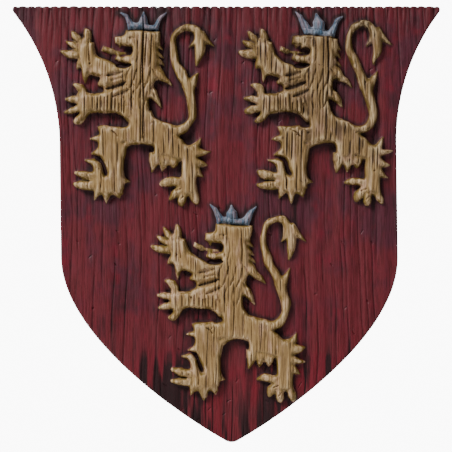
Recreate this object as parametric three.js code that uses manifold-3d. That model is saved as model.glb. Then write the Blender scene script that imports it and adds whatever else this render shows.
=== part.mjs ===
// A heater-shield wall plaque, cast in one piece to look like carved and painted wood.
// Three crowned lions rampant stand in relief on its front, two above and one below.
// Millimetres, +Z up. The front faces -Y, the flat back lies in the plane y = 0,
// and the origin is on the back at half height, under the middle of the top edge.
import * as THREE from "three";
import { mergeVertices } from "three/addons/utils/BufferGeometryUtils.js";
import Module from "manifold-3d";

const wasm = await Module();
wasm.setup();

// The board's outline
const shieldHeight = 400; // from the top edge to the point
const earSpan = 399.5; // over the two ears, before they are rounded
const bodyWidth = 309; // between the straight sides
const flareHeight = 126; // height over which the sides sweep out to the ears
const sideHeight = 230; // from the top edge down to where the sides turn in
const sideArm = 76; // how long the side keeps its direction as it turns in
const pointArm = 40; // the same at the point
const pointAngle = 62.5; // degrees between the centre line and each edge at the point
const pointDrift = 5; // the point hangs this far to the right of the ears' middle
const earRadius = 3.3; // the ears and the point are rounded
const pointRadius = 11.5;

// The board's section
const boardThickness = 16;
const edgeChamfer = 1.8;

// Grain: the gouges that run down from the top edge and notch it
const gougeCount = 26;
const gougeRun = 364; // the stretch of the top edge that they are spread over
const gougeWidths = [3.8, 6.6]; // narrowest and widest
const gougeDepths = [0.8, 1.6];
const gougeLengths = [18, 60];
const gougeWander = 0.3; // share of the pitch that a gouge may stand off its even place

// The lions
const lionHeight = 165; // from the lowest claw to the top of the tail
const reliefHeight = 8.5; // how far the trunk stands out of the board
const upperSpacing = 166; // between the waists of the two upper lions
const upperDrop = 117.5; // from the top edge down to their waists
const lowerDrop = 297; // the same for the lower lion
const lowerOffset = 3.5; // the lower lion stands this far right of the middle

// How the three hand-carved lions differ: leftmost, rightmost and lowest. A lean is the sideways
// slant per unit of height. A crown's base, its fleuron's half width and a tail's lift are in
// lion units.
const characters = [
  { lean: 0, crownBase: 105, fleuron: 3.4, tailLift: 0 },
  { lean: -0.055, crownBase: 99, fleuron: 5.5, tailLift: 4.5 },
  { lean: -0.045, crownBase: 106, fleuron: 5.5, tailLift: 5 },
];

// The keyhole on the back that hangs on a screw in the wall
const keyholeDrop = 62; // from the top edge down to where the screw's shank bears
const screwShank = 4; // diameter
const screwHead = 8.5; // diameter
const keyholeClearance = 1.2; // all round the shank and the head
const keyholeTravel = 13; // how far the head slides up from its entry
const keyholeLip = 3.2; // material that the head catches behind
const keyholeRoom = 5.5; // depth behind the lip
const keyholeUndercut = 0.6; // the room behind the lip is this much wider all round than the entry

// How finely the curves are cut into straight steps
const flareSteps = 12;
const turnSteps = 16;
const cornerSteps = 4;
const tailSteps = 20;
const keyholeSteps = 5;

const overcut = 0.5; // how far a cutter reaches past the surface it opens
const weld = 1e-4; // corners closer than this are one
const topZ = shieldHeight / 2;
const faceY = -boardThickness;

// A number from 0 to 1 that looks random but is the same on every run.
function scatter(index, salt) {
  const wave = Math.sin(index * 12.9898 + salt * 78.233) * 43758.5453;
  return wave - Math.floor(wave);
}

// A closed solid from a list of 3-D points and triangles that face out.
function solidFrom(points, triangles) {
  const geometry = new THREE.BufferGeometry();
  geometry.setAttribute("position", new THREE.Float32BufferAttribute(points.flat(), 3));
  geometry.setIndex(triangles.flat());
  return solidOf(geometry);
}

function solidOf(geometry) {
  const bare = geometry.clone();
  bare.deleteAttribute("normal");
  bare.deleteAttribute("uv");
  const merged = mergeVertices(bare, weld);
  return new wasm.Manifold(
    new wasm.Mesh({
      numProp: 3,
      vertProperties: merged.attributes.position.array,
      triVerts: new Uint32Array(merged.index.array),
    }),
  );
}

// The triangles between rings of equally many points, each ring joined to the next.
function loft(rings) {
  const size = rings[0].length;
  const triangles = [];
  for (let ring = 0; ring + 1 < rings.length; ring += 1) {
    for (let i = 0; i < size; i += 1) {
      const a = ring * size + i;
      const b = ring * size + ((i + 1) % size);
      triangles.push([a, b, a + size], [b, b + size, a + size]);
    }
  }
  return triangles;
}

// A solid through convex rings, closed at both ends. A ring runs counter-clockwise seen from ahead.
function bar(rings) {
  const size = rings[0].length;
  const last = (rings.length - 1) * size;
  const caps = [];
  for (let i = 1; i + 1 < size; i += 1) {
    caps.push([0, i + 1, i], [last, last + i, last + i + 1]);
  }
  return solidFrom(rings.flat(), [...loft(rings), ...caps]);
}

// The grain gouges, each with its place along the top edge, width, depth and length.
function gouges() {
  const pitch = gougeRun / gougeCount;
  const between = ([low, high], i, salt) => THREE.MathUtils.lerp(low, high, scatter(i, salt));
  return Array.from({ length: gougeCount }, (_, i) => ({
    x: pitch * (i + 0.5 + between([-gougeWander, gougeWander], i, 1)) - gougeRun / 2,
    width: between(gougeWidths, i, 2),
    depth: between(gougeDepths, i, 3),
    length: between(gougeLengths, i, 4),
  }));
}

// One edge of the board, from the sharp ear down to the sharp point, x out from the middle.
function sideOutline() {
  const side = bodyWidth / 2;
  const flare = earSpan / 2 - side;
  const flareRadius = (flare ** 2 + flareHeight ** 2) / (2 * flare);
  const flareTurn = Math.asin(flareHeight / flareRadius);
  const path = new THREE.Path();
  path.absarc(side + flareRadius, topZ - flareHeight, flareRadius, Math.PI - flareTurn, Math.PI, false);
  const flarePoints = path.getPoints(flareSteps);
  const turn = THREE.MathUtils.degToRad(pointAngle);
  const sharpZ = -topZ - pointRadius * (1 / Math.sin(turn) - 1); // rounding takes this off again
  const lower = new THREE.CubicBezierCurve(
    new THREE.Vector2(side, topZ - sideHeight),
    new THREE.Vector2(side, topZ - sideHeight - sideArm),
    new THREE.Vector2(pointArm * Math.sin(turn), sharpZ + pointArm * Math.cos(turn)),
    new THREE.Vector2(0, sharpZ),
  );
  return [...flarePoints, ...lower.getPoints(turnSteps)];
}

// Half the angle at a corner between the points before and after it.
function halfAngle(before, corner, after) {
  return before.clone().sub(corner).angleTo(after.clone().sub(corner)) / 2;
}

// A corner of a clockwise outline replaced by an arc.
function roundedCorner(before, corner, after, radius) {
  const half = halfAngle(before, corner, after);
  const towards = (p, reach) => p.clone().sub(corner).setLength(reach);
  const middle = towards(before, 1).add(towards(after, 1)).setLength(radius / Math.sin(half));
  const start = towards(before, radius / Math.tan(half)).sub(middle);
  const end = towards(after, radius / Math.tan(half)).sub(middle);
  const centre = corner.clone().add(middle);
  const arc = new THREE.Path();
  arc.absarc(centre.x, centre.y, radius, start.angle(), end.angle(), true);
  return arc.getPoints(cornerSteps);
}

// The whole outline as Vector2s, counter-clockwise seen from the front, with x right and z up.
function boardOutline() {
  const right = sideOutline();
  const mirror = (p) => new THREE.Vector2(-p.x, p.y);
  const ear = right[0];
  const point = right[right.length - 1];
  const earCut = earRadius / Math.tan(halfAngle(mirror(ear), ear, right[1]));
  const pointCut = pointRadius / Math.tan(THREE.MathUtils.degToRad(pointAngle));
  const edge = right.filter((p) => {
    return p.distanceTo(ear) > earCut + edgeChamfer && p.distanceTo(point) > pointCut + edgeChamfer;
  });
  const lowest = edge[edge.length - 1];
  const rightEar = roundedCorner(mirror(ear), ear, edge[0], earRadius);
  const tip = roundedCorner(lowest, point, mirror(lowest), pointRadius);
  const clockwise = [...rightEar, ...edge, ...tip];
  clockwise.push(...edge.map(mirror).reverse(), ...rightEar.map(mirror).reverse());
  return clockwise
    .reverse()
    .map((p) => new THREE.Vector2(p.x + (pointDrift * (topZ - p.y)) / shieldHeight, p.y));
}

// The outline moved inwards by a small distance.
function inset(outline, distance) {
  return outline.map((p, i) => {
    const before = outline[(i + outline.length - 1) % outline.length];
    const after = outline[(i + 1) % outline.length];
    const along = after.clone().sub(before).normalize();
    return new THREE.Vector2(p.x - along.y * distance, p.y + along.x * distance);
  });
}

// The board: flat back, square sides and a chamfered front edge.
function board() {
  const outline = boardOutline();
  const sections = [
    [outline, 0],
    [outline, faceY + edgeChamfer],
    [inset(outline, edgeChamfer), faceY],
  ];
  const rings = sections.map(([ring, y]) => ring.map((p) => [p.x, y, p.y]));
  const cap = (ring, start, flip) =>
    THREE.ShapeUtils.triangulateShape(ring, []).map(([a, b, c]) =>
      flip ? [start + a, start + c, start + b] : [start + a, start + b, start + c],
    );
  const last = (sections.length - 1) * outline.length;
  return solidFrom(rings.flat(), [
    ...loft(rings),
    ...cap(outline, 0, true),
    ...cap(sections[sections.length - 1][0], last, false),
  ]);
}

// What one gouge takes away: a wedge out of the front face and a notch across the top edge.
function gougeCutters({ x, width, depth, length }) {
  const half = (width / 2) * (1 + overcut / depth);
  const front = faceY - overcut;
  const across = (deep, z) => [
    [x - half, front, z],
    [x + half, front, z],
    [x, faceY + deep, z],
  ];
  const through = (y) => [
    [x - half, y, topZ + overcut],
    [x + half, y, topZ + overcut],
    [x, y, topZ - depth],
  ];
  const wedge = bar([across(0, topZ - length), across(depth, topZ + overcut)]);
  const notch = bar([through(front), through(overcut)]);
  return [wedge, notch];
}

// The lion's pose. Every node is [x, z, half width] in units of 1/180 of the lion's height,
// from an origin at its waist. The lion looks to the left, so its back is at positive x.
// A height is a share of the relief.
const unit = lionHeight / 180;

const trunk = [
  {
    height: 1.0,
    nodes: [[8, 97, 13], [9, 86, 12], [10, 72, 13], [6, 54, 17], [4, 34, 15], [3, 16, 13], [6, 0, 14]],
  },
  { height: 0.97, nodes: [[-27, -3, 9.5], [-12, -1.5, 8.5], [4, 0, 9.5], [20, 1, 12.5], [36, -5, 12]] },
];

// muzzle, jaw and tongue
const head = [
  { height: 0.92, nodes: [[4, 94.5, 7.5], [-10, 93.2, 4.8], [-17, 93.5, 4.4], [-22, 94, 2.4]] },
  { height: 0.82, nodes: [[2, 75.5, 4], [-10, 74.6, 3.4], [-16, 75, 3.2], [-19.5, 75.8, 2]] },
  { height: 0.5, nodes: [[-1, 80.5, 2], [-16, 81.5, 2.1], [-24, 83.5, 2.3], [-35, 87.5, 1.4]] },
];

// raised arm and its paw, two chest locks, lowered arm
const foreLegs = [
  { height: 0.98, nodes: [[0, 60, 7], [-19, 61.5, 6.4], [-30, 63.5, 9], [-42, 68.5, 10]] },
  { height: 0.92, nodes: [[-41, 66, 8.5], [-47, 77, 9.3], [-50, 88, 8]] },
  { height: 0.8, nodes: [[0, 54, 5.5], [-22, 53.5, 4.8], [-34, 52, 4.4]] },
  { height: 0.86, nodes: [[0, 43, 6], [-20, 40, 5.4], [-36, 35, 5]] },
  { height: 0.95, nodes: [[0, 32, 11], [-24, 30.5, 9.6], [-40, 30, 8.6], [-53, 31, 8]] },
];

// near leg, foot and the hooked toe above it, far thigh and shank
const hindLegs = [
  {
    height: 1.0,
    nodes: [[-26, 6, 9.5], [-24, -14, 12.6], [-21.5, -27, 10], [-20, -38, 8.2], [-20.5, -55, 8.2]],
  },
  { height: 0.9, nodes: [[-14, -51, 9], [-32, -51, 8.5], [-40, -51, 6]] },
  { height: 0.8, nodes: [[-34, -46, 4.8], [-37, -36, 4.2], [-40, -29, 3.2], [-48, -26, 1]] },
  { height: 0.98, nodes: [[28, -6, 13], [42, -14, 11.5], [57, -19, 8.5]] },
  { height: 0.9, nodes: [[54, -11.5, 8.6], [53.5, -32, 7.7], [53.3, -45, 7.7], [53, -60, 8]] },
];

// Rows and fans of claws, tufts and locks. Their roots stand evenly from one end of the row
// to the other, or all at one centre. Angles are in degrees from the right, and a reach is
// from the root to the tip. Each row goes from its first value to its last.
const spikeRows = [
  // claws of the raised and the lowered paw
  { ends: [[-51, 84], [-51, 84]], count: 4, angles: [187, 87], reach: [23, 22.5], width: 5 },
  { ends: [[-51, 32], [-51, 32]], count: 4, angles: [129, 241], reach: [20.5, 21.5], width: 5 },
  // tufts of the elbow, the back of the neck and the mane
  { ends: [[-52, 73], [-45, 66]], count: 2, angles: [236, 250], reach: [11, 15], width: 5.2 },
  { ends: [[18, 92], [18, 73]], count: 3, angles: [-32, -30], reach: [12, 14], width: 3.6 },
  { ends: [[15, 63], [13, 49]], count: 2, angles: [-42, -54], reach: [27, 26], width: 5.2 },
  // tooth
  { ends: [[-17.5, 76], [-17.5, 76]], count: 1, angles: [100, 100], reach: [5.5, 5.5], width: 2 },
  // near leg: tufts of the thigh, toes, sole and heel
  { ends: [[-30, 1], [-33, -18]], count: 3, angles: [142, 191], reach: [8.5, 10.5], width: 4.6 },
  { ends: [[-37, -49], [-37, -49]], count: 2, angles: [150, 184], reach: [24, 24], width: 4.8 },
  { ends: [[-39, -54], [-18, -53]], count: 4, angles: [268, 285], reach: [9.5, 9.5], width: 3.8 },
  { ends: [[-16, -44], [-16, -44]], count: 1, angles: [-24, -24], reach: [9, 9], width: 3.6 },
  // far leg: fringe of the thigh, hackle and tufts of the shank, toes
  { ends: [[23, -10], [47, -18]], count: 4, angles: [-104, -98], reach: [25, 12], width: 5.6 },
  { ends: [[58, -13], [58, -13]], count: 1, angles: [58, 58], reach: [13, 13], width: 4.4 },
  { ends: [[60, -16], [60, -35]], count: 3, angles: [4, -38], reach: [14, 11.5], width: 4 },
  { ends: [[53, -52], [53, -52]], count: 3, angles: [177, 241], reach: [27, 20.5], width: 5.4 },
  { ends: [[56, -56], [56, -56]], count: 1, angles: [-62, -62], reach: [12.5, 12.5], width: 5 },
];

// The tail is a smooth curve through these nodes, with two barbs at its leaf and one half way.
const tailNodes = [
  [24, 1, 8], [45, 4, 4.4], [56, 25, 4.2], [49.5, 50, 4.9], [41, 72, 3.8],
  [38, 93, 3], [48, 106, 3], [62, 100, 4.2], [65, 84, 4.8], [62, 69, 1],
];
const tailSpikes = [
  { ends: [[66, 99], [66, 99]], count: 1, angles: [-43, -43], reach: [17.7, 17.7], width: 3.8 },
  { ends: [[64, 98], [64, 98]], count: 1, angles: [-130, -130], reach: [15.6, 15.6], width: 3.2 },
  { ends: [[52, 44], [52, 44]], count: 1, angles: [58, 58], reach: [21, 21], width: 4.8 },
];
const tailHeight = 0.82;
const tailTop = 106; // the height that a tail's lift is measured at
const tailBend = 60; // below this height a tail isn't lifted

// The crown sits on the brow, a bar across the head. Its three points end at the same height,
// the outer two leaning out.
const crownMiddle = 8;
const crownTop = 124;
const browHalf = 7;
function crown({ crownBase, fleuron }) {
  const at = (share) => crownBase + share * (crownTop - crownBase);
  const side = (turn) => [
    [crownMiddle + turn * 11.5, at(0.08), 3],
    [crownMiddle + turn * 15.5, at(0.45), 2.8],
    [crownMiddle + turn * 23, at(1), 0.9],
  ];
  return [
    { height: 0.8, nodes: [[-6, at(0.1), 2.4], [crownMiddle, at(0.08), 2.7], [22, at(0.1), 2.4]] },
    { height: 0.7, nodes: side(-1) },
    { height: 0.74, nodes: [[crownMiddle, at(0.08), 3], [7.5, at(0.6), fleuron], [7, at(1), 1]] },
    { height: 0.7, nodes: side(1) },
  ];
}

function brow({ crownBase }) {
  const z = crownBase - browHalf - 0.5;
  return { height: 0.94, nodes: [[-9, z, browHalf], [25, z, browHalf]] };
}

const fullWidth = 5; // half width, in lion units, from which a limb stands at its full height
const thinRise = 0.5; // share of its height that a limb keeps where it comes to a point
const spikeHeight = 0.76; // height of a spike at its root
const spikeTaper = 0.3; // width of its tip as a share of its root's
const buried = 2.5; // how far a limb's foot reaches into the board
const broadSection = [[-1, 0.55], [-0.55, 0.96], [0.55, 1], [1, 0.6]];
const narrowSection = [[-1, 0.4], [0, 1], [1, 0.4]];

// The spikes of one row, each a tapering limb.
function spikesOf({ ends, count, angles, reach, width }) {
  return Array.from({ length: count }, (_, i) => {
    const share = count > 1 ? i / (count - 1) : 0;
    const along = ([first, last]) => THREE.MathUtils.lerp(first, last, share);
    const [x, z] = [0, 1].map((axis) => along(ends.map((end) => end[axis])));
    const turn = THREE.MathUtils.degToRad(along(angles));
    const [tipX, tipZ] = [x + along(reach) * Math.cos(turn), z + along(reach) * Math.sin(turn)];
    return { height: spikeHeight, nodes: [[x, z, width], [tipX, tipZ, spikeTaper * width]] };
  });
}

// The tail and its barbs, lifted by the lion's own amount above the bend.
function tail({ tailLift }) {
  const nodes = tailNodes.map((node) => new THREE.Vector3(...node));
  const curve = new THREE.CatmullRomCurve3(nodes, false, "catmullrom");
  const stem = { height: tailHeight, nodes: curve.getPoints(tailSteps).map((p) => p.toArray()) };
  const lift = (z) => tailLift * THREE.MathUtils.clamp((z - tailBend) / (tailTop - tailBend), 0, 1);
  return [stem, ...tailSpikes.flatMap(spikesOf)].map(({ height, nodes }) => ({
    height,
    nodes: nodes.map(([x, z, half]) => [x, z + lift(z), half]),
  }));
}

// A limb as a solid: a low arched section carried along its nodes, on the face of the board.
function limbSolid({ height, nodes }, place) {
  const waist = new THREE.Vector2(place.x, place.z);
  const points = nodes.map(([x, z]) => {
    return new THREE.Vector2(x + place.lean * z, z).multiplyScalar(unit).add(waist);
  });
  const widest = Math.max(...nodes.map((node) => node[2]));
  const section = widest > fullWidth ? broadSection : narrowSection;
  const rings = points.map((point, i) => {
    const ahead = points[Math.min(i + 1, points.length - 1)];
    const behind = points[Math.max(i - 1, 0)];
    const along = ahead.clone().sub(behind).normalize();
    const half = nodes[i][2] * unit;
    const fullness = Math.min(1, nodes[i][2] / fullWidth);
    const rise = height * reliefHeight * THREE.MathUtils.lerp(thinRise, 1, fullness);
    const corner = ([across, up]) => [
      point.x - along.y * across * half,
      faceY - up * rise,
      point.y + along.x * across * half,
    ];
    const foot = -buried / rise;
    return [[-1, foot], ...section, [1, foot]].reverse().map(corner);
  });
  return bar(rings);
}

// A whole lion with its crown, standing on the face at its place.
function lion(place) {
  const body = [...trunk, brow(place), ...head, ...foreLegs, ...hindLegs];
  return [...body, ...spikeRows.flatMap(spikesOf), ...tail(place), ...crown(place)]
    .map((limb) => limbSolid(limb, place))
    .reduce((whole, limb) => whole.add(limb));
}

// The keyhole: a round entry for the screw's head, a slot above it for the shank, and room
// behind the lip.
function keyholeCutters() {
  const shankRadius = screwShank / 2 + keyholeClearance;
  const entryRadius = screwHead / 2 + keyholeClearance;
  const roomRadius = entryRadius + keyholeUndercut;
  const seatZ = topZ - keyholeDrop;
  const entryZ = seatZ - keyholeTravel;
  const slot = (radius, highZ, lowZ, deepY, shallowY) => {
    const shape = new THREE.Shape();
    shape.absarc(0, highZ, radius, 0, Math.PI, false);
    shape.absarc(0, lowZ, radius, Math.PI, 2 * Math.PI, false);
    const geometry = new THREE.ExtrudeGeometry(shape, {
      depth: shallowY - deepY,
      bevelEnabled: false,
      curveSegments: keyholeSteps,
    });
    geometry.rotateX(Math.PI / 2);
    geometry.translate(0, shallowY, 0);
    return solidOf(geometry);
  };
  return [
    slot(shankRadius, seatZ, entryZ, -keyholeLip - overcut, overcut),
    slot(entryRadius, entryZ, entryZ, -keyholeLip - overcut, overcut),
    slot(roomRadius, seatZ, entryZ, -keyholeLip - keyholeRoom, -keyholeLip),
  ];
}

function shield() {
  const places = [
    { x: -upperSpacing / 2, z: topZ - upperDrop },
    { x: upperSpacing / 2, z: topZ - upperDrop },
    { x: lowerOffset, z: topZ - lowerDrop },
  ];
  let whole = board();
  gouges().flatMap(gougeCutters).forEach((cutter) => {
    whole = whole.subtract(cutter);
  });
  places.forEach((place, i) => {
    whole = whole.add(lion({ ...place, ...characters[i] }));
  });
  keyholeCutters().forEach((cutter) => {
    whole = whole.subtract(cutter);
  });
  return whole;
}

function meshOf(solid, name, material) {
  const { vertProperties, triVerts, numProp } = solid.getMesh();
  const positions = new Float32Array((vertProperties.length / numProp) * 3);
  for (let i = 0; i < positions.length / 3; i += 1) {
    positions.set(vertProperties.subarray(i * numProp, i * numProp + 3), i * 3);
  }
  const geometry = new THREE.BufferGeometry();
  geometry.setAttribute("position", new THREE.BufferAttribute(positions, 3));
  geometry.setIndex(new THREE.BufferAttribute(triVerts, 1));
  geometry.computeVertexNormals();
  const mesh = new THREE.Mesh(geometry, material);
  mesh.name = name;
  return mesh;
}

const paintedResin = new THREE.MeshStandardMaterial({ color: 0x6b2029, roughness: 0.6, metalness: 0 });

const plaque = new THREE.Group();
plaque.add(meshOf(shield(), "heater_shield", paintedResin));

export default plaque;
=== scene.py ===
import math

import bpy
import numpy as np
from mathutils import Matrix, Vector
from mathutils.geometry import tessellate_polygon


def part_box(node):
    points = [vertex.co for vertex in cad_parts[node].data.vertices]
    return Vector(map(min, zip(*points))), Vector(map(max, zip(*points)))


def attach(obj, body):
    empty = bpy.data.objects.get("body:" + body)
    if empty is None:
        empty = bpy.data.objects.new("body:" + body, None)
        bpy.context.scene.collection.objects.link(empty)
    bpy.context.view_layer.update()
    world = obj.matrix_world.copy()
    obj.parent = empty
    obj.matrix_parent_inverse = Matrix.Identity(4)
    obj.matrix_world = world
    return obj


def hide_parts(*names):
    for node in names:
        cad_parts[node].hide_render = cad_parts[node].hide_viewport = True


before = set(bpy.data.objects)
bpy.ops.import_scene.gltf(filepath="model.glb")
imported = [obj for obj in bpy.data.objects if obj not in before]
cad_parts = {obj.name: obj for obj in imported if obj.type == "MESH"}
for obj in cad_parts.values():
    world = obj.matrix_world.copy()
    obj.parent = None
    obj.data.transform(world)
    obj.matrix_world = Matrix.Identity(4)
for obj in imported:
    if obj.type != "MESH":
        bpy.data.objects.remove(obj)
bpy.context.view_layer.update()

# The board. The plaque is one solid casting in the form of a heater shield, taken from a
# hand-carved wooden master: ears swept out at the top, straight sides and a rounded point.
# All sizes are in millimetres, x to the right, z up, and depth counted out of the face.
MM = 0.001
low_corner, high_corner = (np.array(corner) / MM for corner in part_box("heater_shield"))
top = high_corner[2]
height = 400.0
ear_span = 399.5
body_width = 309.0
flare_height = 126.0
side_height = 230.0
side_arm = 76.0
point_arm = 40.0
point_angle = math.radians(62.5)
point_drift = 5.0
ear_radius = 3.3
point_radius = 11.5
thickness = 16.0
edge_roundness = 2.2
flare_steps = 60
turn_in_steps = 120
ear_steps = 12
point_steps = 16


def right_edge():
    """The right edge from the top down to the point, before the point's drift, as (z, x) columns."""
    side = body_width / 2
    flare = ear_span / 2 - side
    radius = (flare**2 + flare_height**2) / (2 * flare)
    start = math.asin(flare_height / radius)
    turns = np.linspace(start, 0, flare_steps)
    curve = [(side + radius * (1 - math.cos(t)), top - flare_height + radius * math.sin(t)) for t in turns]
    sharp = -height / 2 - point_radius * (1 / math.sin(point_angle) - 1)
    nodes = np.array([
        (side, top - side_height),
        (side, top - side_height - side_arm),
        (point_arm * math.sin(point_angle), sharp + point_arm * math.cos(point_angle)),
        (0, sharp),
    ])
    for t in np.linspace(0, 1, turn_in_steps):
        weights = np.array([(1 - t) ** 3, 3 * t * (1 - t) ** 2, 3 * t**2 * (1 - t), t**3])
        curve.append(tuple(weights @ nodes))
    curve = np.array(curve)
    ear = curve[0]
    half = (math.pi / 2 - start) / 2
    cut = ear_radius / math.tan(half)
    centre = (ear[0] - cut, top - ear_radius)
    ear_turns = np.linspace(math.pi / 2, -start, ear_steps)
    ear_arc = [
        (centre[0] + ear_radius * math.cos(t), centre[1] + ear_radius * math.sin(t)) for t in ear_turns
    ]
    rise = point_radius * (1 - math.sin(point_angle))
    tip = -height / 2 + point_radius
    tip_turns = np.linspace(point_angle - math.pi / 2, -math.pi / 2, point_steps)
    tip_arc = [(point_radius * math.cos(t), tip + point_radius * math.sin(t)) for t in tip_turns]
    kept = curve[(curve[:, 1] < ear_arc[-1][1]) & (curve[:, 1] > -height / 2 + rise)]
    whole = np.vstack([ear_arc, kept, tip_arc])
    return whole[:, 1], whole[:, 0]


edge_z, edge_x = right_edge()


def half_width(z):
    return np.interp(z, edge_z[::-1], edge_x[::-1])


def middle(z):
    return point_drift * (top - z) / height


# The wood that the mould was taken from. Its weathered grain stands in the cast surface:
# long furrows down the board, gouges at the top edge, one split through the left lion,
# worm holes and the small ticks of a chisel. A square raster holds each as a layer.
pitch = 0.5
border = 3
raster_x = np.arange(low_corner[0] - border, high_corner[0] + border, pitch)
raster_z = np.arange(low_corner[2] - border, high_corner[2] + border, pitch)
grid_x, grid_z = np.meshgrid(raster_x, raster_z)
chance = np.random.default_rng(14)


def noise(x, z, across, along):
    """Smooth random values from 0 to 1 whose patches are about across wide and along high."""
    u = (x - raster_x[0]) / across + 2
    v = (z - raster_z[0]) / along + 2
    table = chance.random((int(v.max()) + 3, int(u.max()) + 3))
    i, j = np.floor(u).astype(int), np.floor(v).astype(int)
    s, t = u - i, v - j
    s, t = s * s * (3 - 2 * s), t * t * (3 - 2 * t)
    upper = table[j + 1, i] * (1 - s) + table[j + 1, i + 1] * s
    return (table[j, i] * (1 - s) + table[j, i + 1] * s) * (1 - t) + upper * t


def rise_between(low, high, value):
    """0 where a value is below low, 1 where it is above high and smooth between."""
    share = np.clip((value - low) / (high - low), 0, 1)
    return share * share * (3 - 2 * share)


furrow_sway = 0.35
furrow_sway_down = 23
furrow_sway_across = 31
furrow_floor = 0.12


def furrows(across, along, most):
    """Soft furrows down the board, from 0 between them to 1 at the bottom of one."""
    wave = np.sin(grid_z / furrow_sway_down + grid_x / furrow_sway_across)
    sway = furrow_sway * across * wave
    return 1 - rise_between(furrow_floor, most, noise(grid_x + sway, grid_z, across, along))


line_sway = 0.4
line_sway_down = 41
line_sway_across = 90
line_scatter = 0.34
line_waver = 0.07
line_waver_down = 12
line_floor = 0.2
line_ends = (0.85, 1.1)


def grain_lines(spacing, half, run, kept):
    """Narrow grooves down the wood, each with its own wander, that fade in and out along it."""
    bend = line_sway * spacing * np.sin(grid_z / line_sway_down + grid_x / line_sway_across)
    across = (grid_x + bend - raster_x[0]) / spacing + 2
    line = np.floor(across).astype(int)
    count = line.max() + 1
    places, waves = chance.random(count), chance.uniform(0, 2 * math.pi, count)
    waver = line_waver * np.sin(grid_z / line_waver_down + waves[line])
    place = 0.5 + line_scatter * (places[line] - 0.5) + waver
    off = np.abs(across - line - place) * spacing
    down = (grid_z - raster_z[0]) / run + places[line]
    step = np.floor(down).astype(int)
    strengths = chance.random((step.max() + 2, count))
    strength = strengths[step, line] + (strengths[step + 1, line] - strengths[step, line]) * (down - step)
    shown = rise_between(line_ends[0] - kept, line_ends[1] - kept, strength)
    return shown * (1 - rise_between(line_floor * half, half, off))


def blurred(layer, reach):
    """The layer's mean over a square window, taken twice."""
    steps = int(reach / pitch)
    for _ in range(2):
        for axis in (0, 1):
            padded = np.pad(layer, [(steps + 1, steps) if a == axis else (0, 0) for a in (0, 1)], "edge")
            sums = np.cumsum(padded, axis)
            span = 2 * steps + 1
            upper = np.take(sums, np.arange(span, sums.shape[axis]), axis)
            lower = np.take(sums, np.arange(0, sums.shape[axis] - span), axis)
            layer = (upper - lower) / span
    return layer


def deepest(*layers):
    return np.maximum.reduce(layers)


board_grain = deepest(
    0.5 * furrows(across=4.2, along=120, most=0.36),
    grain_lines(spacing=5.8, half=1.0, run=75, kept=0.42),
    0.3 * grain_lines(spacing=2.7, half=0.7, run=50, kept=0.4),
)
figure_grain = deepest(
    0.45 * furrows(across=3.4, along=50, most=0.36),
    grain_lines(spacing=4.3, half=0.9, run=26, kept=0.46),
    0.6 * grain_lines(spacing=2.4, half=0.6, run=14, kept=0.52),
)
swell = noise(grid_x, grid_z, across=8, along=150) - 0.5
swell_depth = 1.6


def scatter(index, salt):
    """A value from 0 to 1 that looks random, by the sum that places the solid's gouges."""
    wave = math.sin(index * 12.9898 + salt * 78.233) * 43758.5453
    return wave - math.floor(wave)


gouge_count = 26
gouge_run = 364.0
gouge_widths = (3.8, 6.6)
gouge_depths = (0.8, 1.6)
gouge_lengths = (18.0, 60.0)
gouge_wander = 0.3
gouge_sway = 0.8
gouge_sway_run = 7.0
notch_share = 0.4
gouge = np.zeros_like(grid_x)
top_notch = np.zeros_like(raster_x)
for i in range(gouge_count):
    place = gouge_run * ((i + 0.5 + gouge_wander * (2 * scatter(i, 1) - 1)) / gouge_count - 0.5)
    wide, deep, long = (
        least + (most - least) * scatter(i, salt)
        for salt, (least, most) in enumerate((gouge_widths, gouge_depths, gouge_lengths), 2)
    )
    fade = np.clip(1 - (top - grid_z) / long, 0, 1)
    off = np.abs(grid_x - place - gouge_sway * np.sin(grid_z / gouge_sway_run + i)) / (wide / 2)
    gouge = np.maximum(gouge, deep * fade * (1 - rise_between(0, 1, off)))
    notch = notch_share * deep * (1 - rise_between(0, 1, np.abs(raster_x - place) / (wide / 2)))
    top_notch = np.maximum(top_notch, notch)

# Between the gouges the top edge is worn into round lobes of uneven width, some lower than
# others, and a short groove runs down the face from each gap.
lobe_width = 8.0
lobe_wander = 1.6
lobe_wander_run = 9.0
gap_depth = 2.0
lowest_lobe = 0.25
gap_groove_depth = 1.5
gap_groove_length = 26.0
lobe = (raster_x + lobe_wander * np.sin(raster_x / lobe_wander_run)) / lobe_width
lobe_number = np.floor(lobe)
between = 1 - np.sqrt(1 - (2 * (lobe - lobe_number) - 1) ** 2)
lobe_drop = lowest_lobe * (0.5 + 0.5 * np.sin(2.4 * lobe_number**2))
top_notch = np.maximum(top_notch, gap_depth * between + lobe_drop * (1 - between))
gap_fade = np.clip(1 - (top - grid_z) / gap_groove_length, 0, 1)
gouge = np.maximum(gouge, gap_groove_depth * between * gap_fade)


# Lines cut into the wood: the split, the worm holes and the ticks. Each runs out thin at both
# ends and is deepest along its middle.
stroke_end = 0.25
stroke_floor = 0.1


def stroke(points, width, x, z):
    """The distance from each place to a run of points, as a share of a half width thin at both ends."""
    lengths = [math.dist(a, b) for a, b in zip(points, points[1:])]
    nearest = np.full(np.shape(x), 1e9)
    gone = 0.0
    for (ax, az), (bx, bz), long in zip(points, points[1:], lengths):
        dx, dz = bx - ax, bz - az
        share = np.clip(((x - ax) * dx + (z - az) * dz) / long**2, 0, 1)
        whole = (gone + share * long) / sum(lengths)
        full = stroke_end + (1 - stroke_end) * np.sqrt(4 * whole * (1 - whole)) if sum(lengths) > width else 1
        nearest = np.minimum(nearest, np.hypot(x - ax - share * dx, z - az - share * dz) / full)
        gone += long
    return nearest / width


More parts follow.
